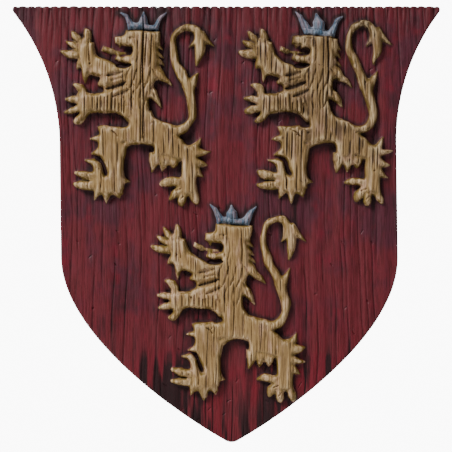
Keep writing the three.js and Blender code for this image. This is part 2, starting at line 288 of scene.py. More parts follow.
def around(points, margin):
    """The part of the raster within a margin of some points."""
    low = np.min(points, 0) - margin
    high = np.max(points, 0) + margin
    columns = slice(*np.searchsorted(raster_x, (low[0], high[0])))
    rows = slice(*np.searchsorted(raster_z, (low[1], high[1])))
    return rows, columns


cuts = np.zeros_like(grid_x)


def cut(points, width, depth):
    """Cuts a line of some half width into whatever stands there."""
    here = around(points, width)
    off = stroke(points, width, grid_x[here], grid_z[here])
    cuts[here] = np.maximum(cuts[here], depth * (1 - rise_between(stroke_floor, 1, off)))


split = [(-76.5, top), (-75.2, 176), (-76.0, 140), (-75.0, 112), (-76.2, 78)]
cut(split, width=1.0, depth=3.2)
worm_holes = [
    (-98, -18), (-122, -77), (-124, 146), (14.4, 130), (-45, -28), (-32, -67),
    (75, 83), (65, 131), (127, 129), (118, 63), (135, 48.5), (82, -64),
]
for x, z in worm_holes:
    cut([(x, z), (x + 0.1, z)], width=1.5, depth=1.6)
tick_count = 60
tick_heights = (-180, 185)
tick_spread = 0.92
tick_turns = (0.5, 1.1)
tick_lengths = (2.5, 5.5)
tick_bend = 0.25
for i in range(tick_count):
    z = chance.uniform(*tick_heights)
    x = middle(z) + chance.uniform(-tick_spread, tick_spread) * half_width(z)
    turn = chance.choice((-1, 1)) * chance.uniform(*tick_turns)
    long = chance.uniform(*tick_lengths)
    bend = [
        (x + long * (s * math.sin(turn) + tick_bend * s * s), z + long * s * math.cos(turn))
        for s in (-0.5, 0, 0.5)
    ]
    cut(bend, width=0.8, depth=0.9)


# The three lions rampant, carved in low relief and left as one with the board. Each is a set
# of limbs, bars of changing width with rounded edges that merge where they meet. A node is
# x, z and half width in units of 1/180 of the lion's height, from its waist.
lion_height = 165.0
unit = lion_height / 180
relief = 8.5
full_width = 5.0
blunt_end = 2.5
thin_rise = 0.5
spike_height = 0.84
upper_spacing = 166.0
upper_drop = 117.5
lower_drop = 297.0
lower_offset = 3.5
lions = [
    {
        "x": -upper_spacing / 2, "z": top - upper_drop, "lean": 0.0, "tail_lift": 0,
        "crown_base": 103.6, "crown_top": 121.5, "tilt": 0.0, "point": 0.74, "fleuron": 3.4,
    },
    {
        "x": upper_spacing / 2, "z": top - upper_drop, "lean": -0.055, "tail_lift": 4.5,
        "crown_base": 97.5, "crown_top": 120, "tilt": 0.14, "point": 0.95, "fleuron": 5.5,
    },
    {
        "x": lower_offset, "z": top - lower_drop, "lean": -0.045, "tail_lift": 5,
        "crown_base": 105.5, "crown_top": 124, "tilt": 0.06, "point": 0.85, "fleuron": 5.2,
    },
]
brow_half = 7.0
brow_reach = 17.0
brow_ends = (-9, 25)
band_overlap = 0.5

body_limbs = [
    (1.0, [(8, 97, 13), (9, 86, 12), (9, 72, 13), (5, 58, 15), (2, 45, 14), (2, 33, 11.8), (4, 22, 10.8),
           (5, 12, 12), (6, 0, 14)]),
    (0.97, [(-27, -3, 9.5), (-12, -1.5, 8.5), (4, 0, 9.5), (20, 1, 12.5), (36, -5, 12)]),
    (0.92, [(4, 93, 8), (-8, 93, 5.4), (-15, 93.5, 4.3), (-20, 93.8, 3.9)]),
    (0.78, [(2, 74.6, 4.4), (-10, 73.8, 2.9), (-16, 74, 2.8), (-19.5, 75, 1.8)]),
    (0.66, [(-24.5, 82.4, 2.6), (-28.5, 83.9, 2.8), (-32.5, 85.5, 2.6)]),
    (0.36, [(-8, 80.2, 1.1), (-16, 80.8, 1.1), (-24, 82.2, 1.2)]),
    (0.98, [(0, 59.5, 6.5), (-19, 60.5, 6.2), (-30, 63.5, 9), (-42, 68.5, 10)]),
    (0.92, [(-43, 62, 7), (-46, 72, 9.2), (-48.5, 82, 9.2), (-48, 90, 7.4)]),
    (0.85, [(0, 55, 6), (-20, 55, 6.2), (-30, 53, 5.6), (-36, 50.5, 2.4)]),
    (0.86, [(0, 43, 6), (-20, 40, 5.4), (-36, 35, 5)]),
    (0.95, [(0, 32, 11), (-24, 30.5, 9.6), (-40, 30, 8.6), (-53, 31, 8)]),
    (0.9, [(-50, 38, 6), (-51, 28, 7.5), (-48, 20, 5.5)]),
    (1.0, [(-26, 6, 9.5), (-24, -14, 12.6), (-21.5, -27, 10), (-20, -38, 8.2), (-20.5, -55, 8.2)]),
    (0.95, [(-15.5, -22, 4.5), (-11.5, -13.5, 4), (-4, -8.6, 3.6), (4, -6, 3.4)]),
    (0.95, [(24, -6, 6), (18.5, -10.5, 4)]),
    (0.9, [(-16, 28, 7), (-5, 16, 5.5)]),
    (0.62, [(-6, 48, 6.5), (-22, 47, 5.5), (-31, 45.5, 4)]),
    (0.96, [(25.5, -8, 8.5), (26, -23, 6.5)]),
    (0.96, [(36, -10, 9), (37, -23, 7)]),
    (0.92, [(11, 18, 6), (16, 11, 6), (24, 6, 6), (34, 4.5, 5)]),
    (0.9, [(-14, -51, 9), (-32, -51, 8.5), (-40, -51, 6)]),
    (0.84, [(-34, -48, 5.2), (-37, -38, 4.4), (-38.5, -31, 4), (-42, -27.5, 3.2), (-49, -26.5, 1)]),
    (0.98, [(28, -6, 13), (40, -13, 11), (50, -19.5, 8), (58, -20, 7.5)]),
    (0.9, [(54, -11.5, 8.6), (53.5, -32, 7.7), (53.3, -45, 7.7), (53, -60, 8)]),
]

# A row holds the ends of its roots, how many it has, the first and last angle, the first and
# last reach, the half width at the root and how far each one hooks.
claw_rows = [
    (((-52, 79), (-50, 88)), 3, (172, 135), (22, 17.5), 3.7, -12),
    (((-48, 89), (-48, 89)), 1, (94, 94), (15, 15), 4.0, 8),
    (((-52, 36), (-52, 36)), 1, (128, 128), (17.5, 17.5), 3.7, 40),
    (((-53, 33), (-53, 25)), 2, (172, 190), (17, 17), 3.7, 8),
    (((-50, 22), (-50, 22)), 1, (224, 224), (15.5, 15.5), 3.9, -30),
    (((-38, -43.5), (-38, -50.5)), 2, (167, 180), (22.5, 23), 4.6, -6),
    (((46, -49), (48, -59)), 3, (180, 266), (21, 12), 4.5, 16),
    (((56, -58), (56, -58)), 1, (-68, -68), (12, 12), 3.9, -10),
]
lock_rows = [
    (((-53, 72), (-47, 66)), 2, (233, 255), (9, 16), 4.2, 8),
    (((17, 89), (18, 67)), 4, (-28, -38), (13, 13), 3.4, -18),
    (((16, 62), (11, 44)), 2, (-38, -50), (26, 24), 6.2, -18),
    (((-17.5, 76), (-17.5, 76)), 1, (96, 96), (5, 5), 1.7, 0),
    (((-15, 91), (-15, 91)), 1, (264, 264), (5.5, 5.5), 2.0, 0),
    (((-30, 2), (-30, 2)), 1, (150, 150), (9, 9), 5.0, 0),
    (((-30, -5), (-31, -18)), 2, (180, 190), (15, 13), 5.0, 8),
    (((-37, -54), (-37, -54)), 1, (248, 248), (12, 12), 4.2, 0),
    (((-28, -54), (-28, -54)), 1, (266, 266), (16, 16), 5.2, 0),
    (((-19, -54), (-19, -54)), 1, (286, 286), (10, 10), 4.4, 0),
    (((-16, -46), (-16, -46)), 1, (-16, -16), (9.5, 9.5), 4.4, 0),
    (((21, -20), (38, -24)), 3, (-104, -94), (19, 11), 6.4, 0),
    (((56, -18), (56, -18)), 1, (58, 58), (17.5, 17.5), 4.8, 14),
    (((58, -18), (58, -36)), 3, (2, -38), (17, 13), 5.0, 10),
]
tail_nodes = [
    (26, 3, 8), (41, 3.5, 5.2), (50.5, 7.5, 4.4), (56.6, 17, 3.8), (56.2, 29, 4.4), (51, 48, 5),
    (42, 68, 4.4), (37.6, 84, 3.6), (39.5, 98, 3.2), (50, 106, 3.2), (60.5, 102, 4), (64.3, 90, 5),
    (64, 80, 4.2), (61.5, 69, 1),
]
tail_locks = [
    (((65, 99), (65, 99)), 1, (-43, -43), (19, 19), 4.4, 8),
    (((64, 99), (64, 99)), 1, (-128, -128), (17, 17), 3.6, -8),
    (((51, 43), (51, 43)), 1, (58, 58), (22, 22), 5.2, 6),
]
tail_height = 0.82
tail_top = 106.0
tail_bend = 60.0
tail_steps = 40

# How full a claw or a lock is on its way out: each pair is a share of its reach and the share
# of its half width there. It is bent back a little at its root and hooked at its point.
root_bend = -0.7
point_bend = 1.3
claw_form = ((0, 1.0), (0.4, 0.95), (0.62, 0.98), (0.82, 0.74), (0.94, 0.54), (1, 0.4))
lock_form = ((0, 1), (0.35, 0.8), (0.68, 0.5), (1, 0.12))


def spikes(row, form):
    """The claws or locks of one row, each full at its root and bent towards its point."""
    (first, last), count, angles, reaches, width, hook = row
    for i in range(count):
        share = i / max(count - 1, 1)
        x, z = (a + (b - a) * share for a, b in zip(first, last))
        turn = angles[0] + (angles[1] - angles[0]) * share
        reach = reaches[0] + (reaches[1] - reaches[0]) * share
        nodes = []
        for (along, full), (further, _) in zip(form, form[1:] + form[-1:]):
            nodes.append((x, z, width * full))
            bend = root_bend + (point_bend - root_bend) * along
            heading = math.radians(turn + hook * bend)
            x += reach * (further - along) * math.cos(heading)
            z += reach * (further - along) * math.sin(heading)
        yield spike_height, nodes


def curve_through(nodes, steps):
    """A smooth run of points through nodes of any number of values."""
    nodes = np.array(nodes, float)
    padded = np.vstack([2 * nodes[0] - nodes[1], nodes, 2 * nodes[-1] - nodes[-2]])
    points = []
    for t in np.linspace(0, len(nodes) - 1, steps):
        i = min(int(t), len(nodes) - 2)
        a, b, c, d = padded[i : i + 4]
        s = t - i
        points.append(b + 0.5 * s * (c - a + s * (2 * a - 5 * b + 4 * c - d + s * (3 * (b - c) + d - a))))
    return points


def tail(lion):
    def lifted(z):
        return z + lion["tail_lift"] * min(max((z - tail_bend) / (tail_top - tail_bend), 0), 1)

    limbs = [(tail_height, curve_through(tail_nodes, tail_steps))]
    for row in tail_locks:
        limbs += spikes(row, lock_form)
    return [(share, [(x, lifted(z), half) for x, z, half in nodes]) for share, nodes in limbs]


def lion_limbs(lion):
    brow = lion["crown_base"] - brow_half - band_overlap
    fall = lion["tilt"] * brow_reach
    left, right = brow_ends
    limbs = body_limbs + [(0.94, [(left, brow + fall, brow_half), (right, brow - fall, brow_half)])]
    for rows, form in ((claw_rows, claw_form), (lock_rows, lock_form)):
        for row in rows:
            limbs += spikes(row, form)
    return limbs + tail(lion)


def placed(lion, x, z):
    return lion["x"] + (x + lion["lean"] * z) * unit, lion["z"] + z * unit


# A limb rises from its outline in a full curve edge_round wide, and limbs that meet melt into
# each other over about merging. The outline wobbles a little, as one cut by hand does.
edge_round = 4.6
fullness = 2.1
merging = 1.1
end_overhang = 0.3
wobble = 2.6
outside = -12.0
sway_x = grid_x + wobble * (noise(grid_x, grid_z, across=7, along=11) - 0.5)
sway_z = grid_z + wobble * (noise(grid_x, grid_z, across=11, along=7) - 0.5)


def raise_limbs(lion, limbs, inside, relief_height):
    """Raises limbs that melt into each other, and keeps how far each place is inside their outline."""
    reach_sum, rise_sum = np.zeros_like(grid_x), np.zeros_like(grid_x)
    for share, nodes in limbs:
        points = np.array([(*placed(lion, *node[:2]), node[2] * unit) for node in nodes])
        halves = points[:, 2] / unit
        rises = share * relief * (thin_rise + (1 - thin_rise) * np.minimum(1, halves / full_width))
        here = around(points[:, :2], points[:, 2].max() - outside)
        x, z = sway_x[here], sway_z[here]
        best, rise = np.full(x.shape, outside), np.zeros_like(x)
        for i in range(len(points) - 1):
            (ax, az, ar), (bx, bz, br) = points[i : i + 2]
            dx, dz = bx - ax, bz - az
            long = math.hypot(dx, dz)
            along = ((x - ax) * dx + (z - az) * dz) / long
            t = np.clip(along / long, 0, 1)
            reach = ar + (br - ar) * t - np.hypot(x - ax - t * dx, z - az - t * dz)
            if i == 0:
                reach = np.minimum(reach, along + end_overhang)
            if i == len(points) - 2 and halves[-1] > blunt_end:
                reach = np.minimum(reach, long - along + end_overhang)
            rise = np.where(reach > best, rises[i] + (rises[i + 1] - rises[i]) * t, rise)
            best = np.maximum(best, reach)
        weight = np.exp(best / merging)
        reach_sum[here] += weight
        rise_sum[here] += weight * rise
    reach = merging * np.log(reach_sum + math.exp(outside / merging))
    profile = (1 - np.clip(1 - reach / edge_round, 0, 1) ** fullness) ** (1 / fullness)
    lift = rise_sum / np.maximum(reach_sum, 1e-9) * profile
    np.maximum(relief_height, lift, out=relief_height)
    np.maximum(inside, reach, out=inside)


figure = np.full_like(grid_x, outside)
raised = np.zeros_like(grid_x)
for lion in lions:
    raise_limbs(lion, lion_limbs(lion), figure, raised)


# The knife cuts that part the lions' features: brow, mouth and throat, the hollows and locks of
# the chest, the fold of the hip, the mane and the gaps between the fingers and toes. A row of
# short cuts under the lowered arm is its fur. Each cut has its points, half width and depth.
knife_cuts = [
    ([(-6, 95), (0, 94.4)], 2.2, 1.2),
    ([(-7.5, 82.8), (-6, 82.6)], 4.9, 6.0),
    ([(-19, 67.6), (-12, 67), (-4, 68.4)], 3.2, 6.5),
    ([(-28, 57.8), (-20, 59), (-13, 61)], 4.0, 2.2),
    ([(-29, 44.6), (-20, 46.6), (-9, 51.4)], 4.2, 2.4),
    ([(-24, 53), (-13, 55.4)], 2.2, 1.2),
    ([(-22, 36.4), (-14, 39.2), (-6, 43.6)], 3.8, 2.1),
    ([(-4, 66), (-9, 57), (-8, 47)], 1.8, 1.3),
    ([(2, 64), (-1, 54), (-5, 45)], 1.8, 1.4),
    ([(9, 64), (7, 54), (2, 44)], 1.9, 1.4),
    ([(15, 62), (13, 52), (8, 43)], 1.9, 1.4),
    ([(-8, 45), (-11, 36), (-8, 27)], 1.8, 1.3),
    ([(-1, 43), (-4, 34), (-2, 24)], 2.0, 1.5),
    ([(6, 43), (4, 34), (5, 24)], 1.8, 1.2),
    ([(12, 42), (11, 34), (8, 26)], 1.8, 1.3),
    ([(-24, 3), (-20, 0.5), (-17, -3.5)], 1.2, 2.0),
    ([(3, 92), (4, 80), (1, 70)], 1.6, 1.1),
    ([(15, 92), (16, 80), (14, 66)], 1.8, 1.3),
    ([(17, 64), (22, 56), (26, 49)], 1.6, 1.5),
    ([(15, 48), (18, 41), (20, 34)], 1.6, 1.5),
    ([(-66, 86), (-59, 84)], 1.6, 1.6),
    ([(-63, 94.5), (-57, 90)], 1.6, 1.6),
    ([(-54, 99), (-53, 93)], 1.6, 1.6),
    ([(-57, 92), (-56, 74)], 1.1, 1.3),
    ([(-46.5, 94), (-45.5, 72)], 1.2, 1.6),
    ([(-62, 39.5), (-56, 36.5)], 1.6, 1.6),
    ([(-64, 29), (-57, 28.8)], 1.6, 1.6),
    ([(-60, 18.5), (-55, 22)], 1.6, 1.6),
    ([(-54, -47), (-45, -47.3)], 1.7, 1.8),
    ([(-34, -40), (-33, -47), (-34, -54)], 1.2, 1.6),
    ([(40, -57), (46, -55)], 1.6, 1.6),
    ([(45, -66), (48, -62)], 1.5, 1.5),
]
fur_row = {
    "first": -38, "last": -12, "count": 8, "scatter": 1.2, "lean": 0.5,
    "low": 20, "high": 38, "uneven": (-8, 3), "width": 1.15, "depth": 1.9,
}
for lion in lions:
    for points, width, depth in knife_cuts:
        cut([placed(lion, *point) for point in points], width * unit, depth)
    for i in range(fur_row["count"]):
        x = fur_row["first"] + (fur_row["last"] - fur_row["first"]) * i / (fur_row["count"] - 1)
        x += chance.uniform(-fur_row["scatter"], fur_row["scatter"])
        high = fur_row["high"] + chance.uniform(*fur_row["uneven"])
        ends = [placed(lion, x, fur_row["low"]), placed(lion, x + fur_row["lean"], high)]
        cut(ends, fur_row["width"], fur_row["depth"])


# The crowns, an open band with a fleuron between two outward points on each lion's brow. They
# are carved with the lion but lower than its head, and painted grey-blue. A crown's foot and
# band are marked by cut lines, each given by its height, half width and depth.
crown_middle = 8.0
band_reach = 14.5
line_reach = 17.0
foot_line = (-0.8, 1.3, 1.7)
band_line = (5.6, 0.9, 1.0)


def crown_limbs(lion):
    """The band, the two points and the fleuron, placed by their share of the crown's height."""
    base, tilt, full = lion["crown_base"], lion["tilt"], lion["point"]
    rise = lion["crown_top"] - base

    def at(across, share, half):
        return crown_middle + across, base + share * rise - tilt * across, half

    def point(turn):
        bent = ((11, 0.08, 4.4 * full), (14, 0.42, 4 * full), (17.5, 0.75, 2.6 * full), (23, 1, 0.8))
        return [at(turn * across, share, half) for across, share, half in bent]

    return [
        (0.8, [at(-band_reach, 0.16, 3.2), at(0, 0.14, 3.4), at(band_reach, 0.16, 3.2)]),
        (0.7, point(-1)),
        (0.74, [at(0, 0.08, 4.4 * full), at(-0.4, 0.55, lion["fleuron"]), at(-1, 1, 1)]),
        (0.7, point(1)),
    ]


crown = np.full_like(grid_x, outside)
for lion in lions:
    raise_limbs(lion, crown_limbs(lion), crown, raised)
    for lift, width, depth in (foot_line, band_line):
        line = [
            placed(lion, crown_middle + across, lion["crown_base"] + lift - lion["tilt"] * across)
            for across in (-line_reach, 0, line_reach)
        ]
        cut(line, width, depth)
    for share, nodes in crown_limbs(lion)[1:]:
        cut([placed(lion, x, z) for x, z, half in nodes[:-1]], width=1.1, depth=1.0)

# The cast surface. Every layer is added up into one height over the board's face, the outline
# is closed with its worn edges, sides and flat back, and a keyhole in the back takes the
# screw that it hangs on.
figure_edge = (-0.5, 1.5)
limb_body = (1.5, 4)
muscle_reach = (1, 6)
thin_limb_grain = 0.3
board_furrow_depth = 0.75
figure_furrow_depth = 1.25
figure_swell = 0.4
figure_gouge = 0.5
muscle_depth = 1.6
on_figure = rise_between(*figure_edge, np.maximum(figure, crown))
figure_grain *= thin_limb_grain + (1 - thin_limb_grain) * rise_between(*limb_body, figure)
grooves = board_grain + (figure_grain - board_grain) * on_figure
furrow_depth = board_furrow_depth + (figure_furrow_depth - board_furrow_depth) * on_figure
muscle = noise(grid_x, grid_z, across=13, along=21) - 0.5
surface = blurred(raised, pitch) + swell_depth * swell * (1 - (1 - figure_swell) * on_figure)
surface += muscle_depth * muscle * rise_between(*muscle_reach, figure)

# Nothing may stand out past the solid's own relief, so the highest ground is pressed together.
high_ground = 7.4
highest = 1.4
over = np.maximum(surface - high_ground, 0)
surface += highest * (1 - np.exp(-over / highest)) - over

# A cut stops just above the board, and on the board it is shallow. Wash settles in every line.
cut_floor = 0.6
board_cut = 0.9
hollow_reach = 4
full_cut_shade = 4.2
full_gouge_shade = 1.2
surface = surface - furrow_depth * grooves
surface -= np.minimum(cuts, np.maximum(surface - cut_floor, board_cut))
surface -= gouge * (1 - (1 - figure_gouge) * on_figure)
hollow = surface - blurred(surface, hollow_reach)
line_shade = np.clip(deepest(grooves, cuts / full_cut_shade, gouge / full_gouge_shade), 0, 1)

# The face is a sheet of rows and columns that fills the outline, worn round at its edge and
# notched at its top.
rows = 640
columns = 620
point_clearance = 0.2
relief_margin = 3
notch_fade = 6
edge_wear = 0.5


def sample(layer, x, z):
    """A layer's value at places between the raster's own."""
    u = np.clip((x - raster_x[0]) / pitch, 0, len(raster_x) - 1.001)
    v = np.clip((z - raster_z[0]) / pitch, 0, len(raster_z) - 1.001)
    i, j = u.astype(int), v.astype(int)
    s, t = u - i, v - j
    upper = layer[j + 1, i] * (1 - s) + layer[j + 1, i + 1] * s
    return (layer[j, i] * (1 - s) + layer[j, i + 1] * s) * (1 - t) + upper * t


row_z = np.linspace(top, -height / 2 + point_clearance, rows)[:, None]
spread = np.linspace(-1, 1, columns)[None, :]
face_x = middle(row_z) + half_width(row_z) * spread
face_z = row_z + 0 * spread
slope = np.gradient(half_width(row_z[:, 0]), row_z[:, 0])[:, None]
from_side = (half_width(row_z) * (1 - np.abs(spread))) / np.sqrt(1 + slope**2)
from_edge = np.minimum(from_side, top - face_z)
worn = edge_roundness * (1 + edge_wear * sample(swell, face_x, face_z))
fall = np.clip(1 - from_edge / worn, 0, 1)
edge_fall = worn * (1 - np.sqrt(np.clip(1 - fall**2, 0, 1)))
near_edge = np.clip(from_edge / relief_margin, 0, 1)
face_y = -(thickness - edge_fall + sample(surface, face_x, face_z) * near_edge)
face_z = face_z - np.interp(face_x, raster_x, top_notch) * np.exp((face_z - top) / notch_fade)
front = np.stack([face_x, face_y, face_z], -1).reshape(-1, 3)

index = np.arange(rows * columns).reshape(rows, columns)
quads = np.stack([index[:-1, :-1], index[1:, :-1], index[1:, 1:], index[:-1, 1:]], -1).reshape(-1, 4)
rim = np.concatenate([index[0, :-1], index[:-1, -1], index[-1, :0:-1], index[:0:-1, 0]])
points = [front]
faces = quads.tolist()


def add_ring(ring):
    """Adds a ring of points and gives their numbers."""
    first = sum(len(run) for run in points)
    points.append(ring)
    return np.arange(first, first + len(ring))


def wall(first, second):
    faces.extend(np.stack([first, np.roll(first, -1), np.roll(second, -1), second], -1).tolist())


# The sides go back in rings, slightly uneven from the mould, and turn in a little at the back.
side_depths = (0.82, 0.6, 0.38, 0.16, 0.05, 0)
side_roughness = 0.35
across_wave, across_shift = 0.9, 7
down_wave, down_shift = 0.23, 5
back_inset = 0.8
rim_points = front[rim]
inward = rim_points[:, [0, 2]] / np.linalg.norm(rim_points[:, [0, 2]], axis=1, keepdims=True)
last = rim
for share in side_depths:
    ring = rim_points.copy()
    ring[:, 1] = -thickness * share
    waves = np.sin(ring[:, 0] * across_wave + across_shift * share)
    waves = side_roughness * waves * np.sin(ring[:, 2] * down_wave + down_shift * share)
    turned_in = back_inset if share == 0 else 0
    ring[:, [0, 2]] -= inward * (np.abs(waves) + turned_in)[:, None]
    now = add_ring(ring)
    wall(last, now)
    last = now

# The keyhole is a round entry for the screw's head with a slot above it for the shank, cut
# through a lip into a wider room.
keyhole_drop = 62.0
screw_shank = 4.0
screw_head = 8.5
keyhole_clearance = 1.2
keyhole_undercut = 0.6
shank_radius = screw_shank / 2 + keyhole_clearance
entry_radius = screw_head / 2 + keyhole_clearance
room_radius = entry_radius + keyhole_undercut
keyhole_travel = 13.0
keyhole_lip = 3.2
keyhole_room = 5.5
seat_z = top - keyhole_drop
entry_z = seat_z - keyhole_travel


def arc(radius, z, start, end, steps=16):
    return [(radius * math.cos(t), z + radius * math.sin(t)) for t in np.linspace(start, end, steps)]


def ring_at(outline, y):
    return add_ring(np.array([(x, y, z) for x, z in outline]))


slot_turn = math.asin(shank_radius / entry_radius)
keyhole = arc(shank_radius, seat_z, 0, math.pi)
keyhole += arc(entry_radius, entry_z, math.pi / 2 + slot_turn, 5 * math.pi / 2 - slot_turn, 28)
room = arc(room_radius, seat_z, 0, math.pi) + arc(room_radius, entry_z, math.pi, 2 * math.pi)


def flat(loops, looks_back):
    """A flat face between closed loops, looking to the back or to the front."""
    everything = np.concatenate(points)
    triangles = tessellate_polygon([[Vector(everything[i] * (1, 0, 1)) for i in loop] for loop in loops])
    flat_index = np.concatenate(loops)
    for triangle in triangles:
        a, b, c = (flat_index[i] for i in triangle)
        turn = np.cross(everything[b] - everything[a], everything[c] - everything[a])[1]
        faces.append([a, b, c] if (turn > 0) == looks_back else [a, c, b])


mouth_ring = ring_at(keyhole, 0)
lip_ring = ring_at(keyhole, -keyhole_lip)
room_ring = ring_at(room, -keyhole_lip)
floor_ring = ring_at(room, -keyhole_lip - keyhole_room)
flat([last, mouth_ring], True)
wall(mouth_ring, lip_ring)
flat([room_ring, lip_ring], False)
wall(room_ring, floor_ring)
flat([floor_ring], True)

# The mesh is made finer than it has to be and then thinned where the casting is smooth. The
# back is pressed flat again, and each point keeps what the paint needs to know about its place.
mesh = bpy.data.meshes.new("fine_casting")
mesh.from_pydata((np.concatenate(points) * MM).tolist(), [], [list(map(int, face)) for face in faces])
mesh.validate()
plaque = bpy.data.objects.new("painted_casting", mesh)
bpy.context.scene.collection.objects.link(plaque)
triangle_budget = 186000
back_tolerance = 0.3
back_flatness = 0.1
sharp_angle = math.radians(55)
mesh.calc_loop_triangles()
thin = plaque.modifiers.new("thin", "DECIMATE")
thin.ratio = triangle_budget / len(mesh.loop_triangles)
thin.use_collapse_triangulate = True
depsgraph = bpy.context.evaluated_depsgraph_get()
thinned = bpy.data.meshes.new_from_object(plaque.evaluated_get(depsgraph))
plaque.modifiers.remove(thin)
plaque.data = thinned
thinned.name = "painted_casting"
bpy.data.meshes.remove(mesh)

co = np.zeros(len(thinned.vertices) * 3, np.float32)
thinned.vertices.foreach_get("co", co)
co = co.reshape(-1, 3) / MM
co[co[:, 1] > -back_tolerance, 1] = 0
thinned.vertices.foreach_set("co", (co * MM).astype(np.float32).ravel())
rasters = {"figure": figure, "crown": crown, "lines": line_shade, "hollow": hollow}
layers = {name: sample(layer, co[:, 0], co[:, 2]) for name, layer in rasters.items()}
layers["edge"] = half_width(co[:, 2]) - np.abs(co[:, 0] - middle(co[:, 2]))
for name, values in layers.items():
    thinned.attributes.new(name, "FLOAT", "POINT").data.foreach_set("value", values.astype(np.float32))
thinned.shade_smooth()
thinned.set_sharp_from_angle(angle=sharp_angle)
for face in thinned.polygons:
    face.use_smooth = face.center[1] < -back_flatness * MM

# A map for the paint, laid out as the casting is seen: the front fills most of the square, the
# two sides and the top edge are strips beside it, and the back is a small copy above.
front_share = 0.74
back_share = 0.18
map_margin = 0.01
left_strip = 0.77
right_strip = 0.82
top_strip = 0.77
back_start = 0.81
front_tolerance = 0.5
facing_back = 0.6
facing_up = 0.75
front_scale = front_share / height
back_scale = back_share / height
face_count = len(thinned.polygons)
normals = np.zeros(face_count * 3, np.float32)
centres = np.zeros(face_count * 3, np.float32)
thinned.polygons.foreach_get("normal", normals)
thinned.polygons.foreach_get("center", centres)
normals = np.repeat(normals.reshape(-1, 3), 3, 0)
centres = np.repeat(centres.reshape(-1, 3), 3, 0) / MM
corner = np.zeros(len(thinned.loops), np.int32)
thinned.loops.foreach_get("vertex_index", corner)
x, y, z = (co[corner] - low_corner).T
depth = (co[corner][:, 1] + thickness) * front_scale
front_u = map_margin + x * front_scale
front_v = map_margin + z * front_scale
on_front = centres[:, 1] < front_tolerance - thickness + edge_roundness
on_back = normals[:, 1] > facing_back
on_top = normals[:, 2] > facing_up
on_right = normals[:, 0] > 0
u = np.select(
    [on_front, on_back, on_top, on_right],
    [front_u, map_margin + x * back_scale, front_u, right_strip + depth],
    left_strip + depth,
)
v = np.select([on_front, on_back, on_top], [front_v, back_start + z * back_scale, top_strip + depth], front_v)
bake_map = thinned.uv_layers.new(name="OFBake")
bake_map.data.foreach_set("uv", np.stack([u, v], -1).astype(np.float32).ravel())


# The paint. A dull red ground with gold lions and grey-blue crowns, brushed on by hand, then a
# dark wash rubbed into every furrow, wash and painted shade round the figures, painted shade over
# the upper lions and along the top edge, and the high edges rubbed light.
class Wire:
    """A shader socket that sums can be written with, in the node tree it belongs to."""

    def __init__(self, tree, socket=None):
        self.tree = tree
        self.socket = socket

    def node(self, kind, settings=None, sockets=None, output=None):
        """Adds a node and gives its named output, or its first."""
        made = self.tree.nodes.new(kind)
        for name, value in (settings or {}).items():
            setattr(made, name, value)
        for key, value in (sockets or {}).items():
            named = [s for s in made.inputs if s.enabled and s.name == key]
            target = made.inputs[key] if isinstance(key, int) else named[0]
            if isinstance(value, Wire):
                self.tree.links.new(value.socket, target)
            else:
                target.default_value = value
        outputs = [s for s in made.outputs if s.enabled and output in (None, s.name)]
        return Wire(self.tree, outputs[0])

    def maths(self, operation, a, b):
        return self.node("ShaderNodeMath", {"operation": operation}, {0: a, 1: b})

    def __add__(self, other):
        return self.maths("ADD", self, other)

    def __sub__(self, other):
        return self.maths("SUBTRACT", self, other)

    def __rsub__(self, other):
        return self.maths("SUBTRACT", other, self)

    def __mul__(self, other):
        return self.maths("MULTIPLY", self, other)

    __radd__ = __add__
    __rmul__ = __mul__

    def larger(self, other):
        return self.maths("MAXIMUM", self, other)

    def step(self, low, high):
        """0 below low, 1 above high and smooth between."""
        settings = {"interpolation_type": "SMOOTHSTEP"}
        return self.node("ShaderNodeMapRange", settings, {"Value": self, "From Min": low, "From Max": high})

    def mix(self, a, b):
        """Colour a where this is 0 and colour b where it is 1."""
        return self.node("ShaderNodeMix", {"data_type": "RGBA"}, {"Factor": self, "A": a, "B": b})


def paint(red, green, blue):
    """A paint colour from the values 0 to 255 that a screen shows it by."""

    def linear(value):
        return value / 12.92 if value <= 0.04045 else ((value + 0.055) / 1.055) ** 2.4

    return (*(linear(value / 255) for value in (red, green, blue)), 1)


material = bpy.data.materials.new("antiqued_paint")
material.use_nodes = True
tree = material.node_tree
shader = tree.nodes["Principled BSDF"]
here = Wire(tree)
place = here.node("ShaderNodeTexCoord", output="Object")
across, backward, upward = (
    here.node("ShaderNodeSeparateXYZ", sockets={"Vector": place}, output=axis) for axis in "XYZ"
)
downward = upward * -1
along_grain = (1, 1, 0.07)
stretched = here.node("ShaderNodeVectorMath", {"operation": "MULTIPLY"}, {0: place, 1: along_grain})


def layer_of(name):
    return here.node("ShaderNodeAttribute", {"attribute_name": name}, output="Fac")


def speckle(where, scale, detail=3.0, rough=0.55):
    sockets = {"Vector": where, "Scale": scale, "Detail": detail, "Roughness": rough}
    return here.node("ShaderNodeTexNoise", sockets=sockets)


in_figure = layer_of("figure")
in_crown = layer_of("crown")
in_lines = layer_of("lines")
in_hollow = layer_of("hollow")
from_rim = layer_of("edge")

hair = speckle(stretched, 900)
streak = speckle(stretched, 300)
band = speckle(stretched, 110, detail=2.0)
narrow_band = speckle(stretched, 230, detail=2.0)
blotch = speckle(place, 22)
patch = speckle(place, 75)
grit = speckle(place, 700)

# Where each paint lies. The brush strays a little over the edge of a figure.
stray = (patch - 0.5) * 1.2
gold_area = (in_figure + stray).step(-0.4, 0.5)
crown_area = (in_crown + stray).step(-0.4, 0.5)
painted_figure = gold_area.larger(crown_area)
field = 1 - painted_figure
back_area = backward.step(-0.0012, -0.0004)
top_edge = upward.step(0.15, 0.2)
upper_part = upward.step(-0.02, 0.1)
lower_part = downward.step(0.02, 0.16)
point_area = downward.step(0.13, 0.19)
right_part = across.step(-0.02, 0.06)
low_rim = lower_part * (1 - from_rim.step(8, 75))

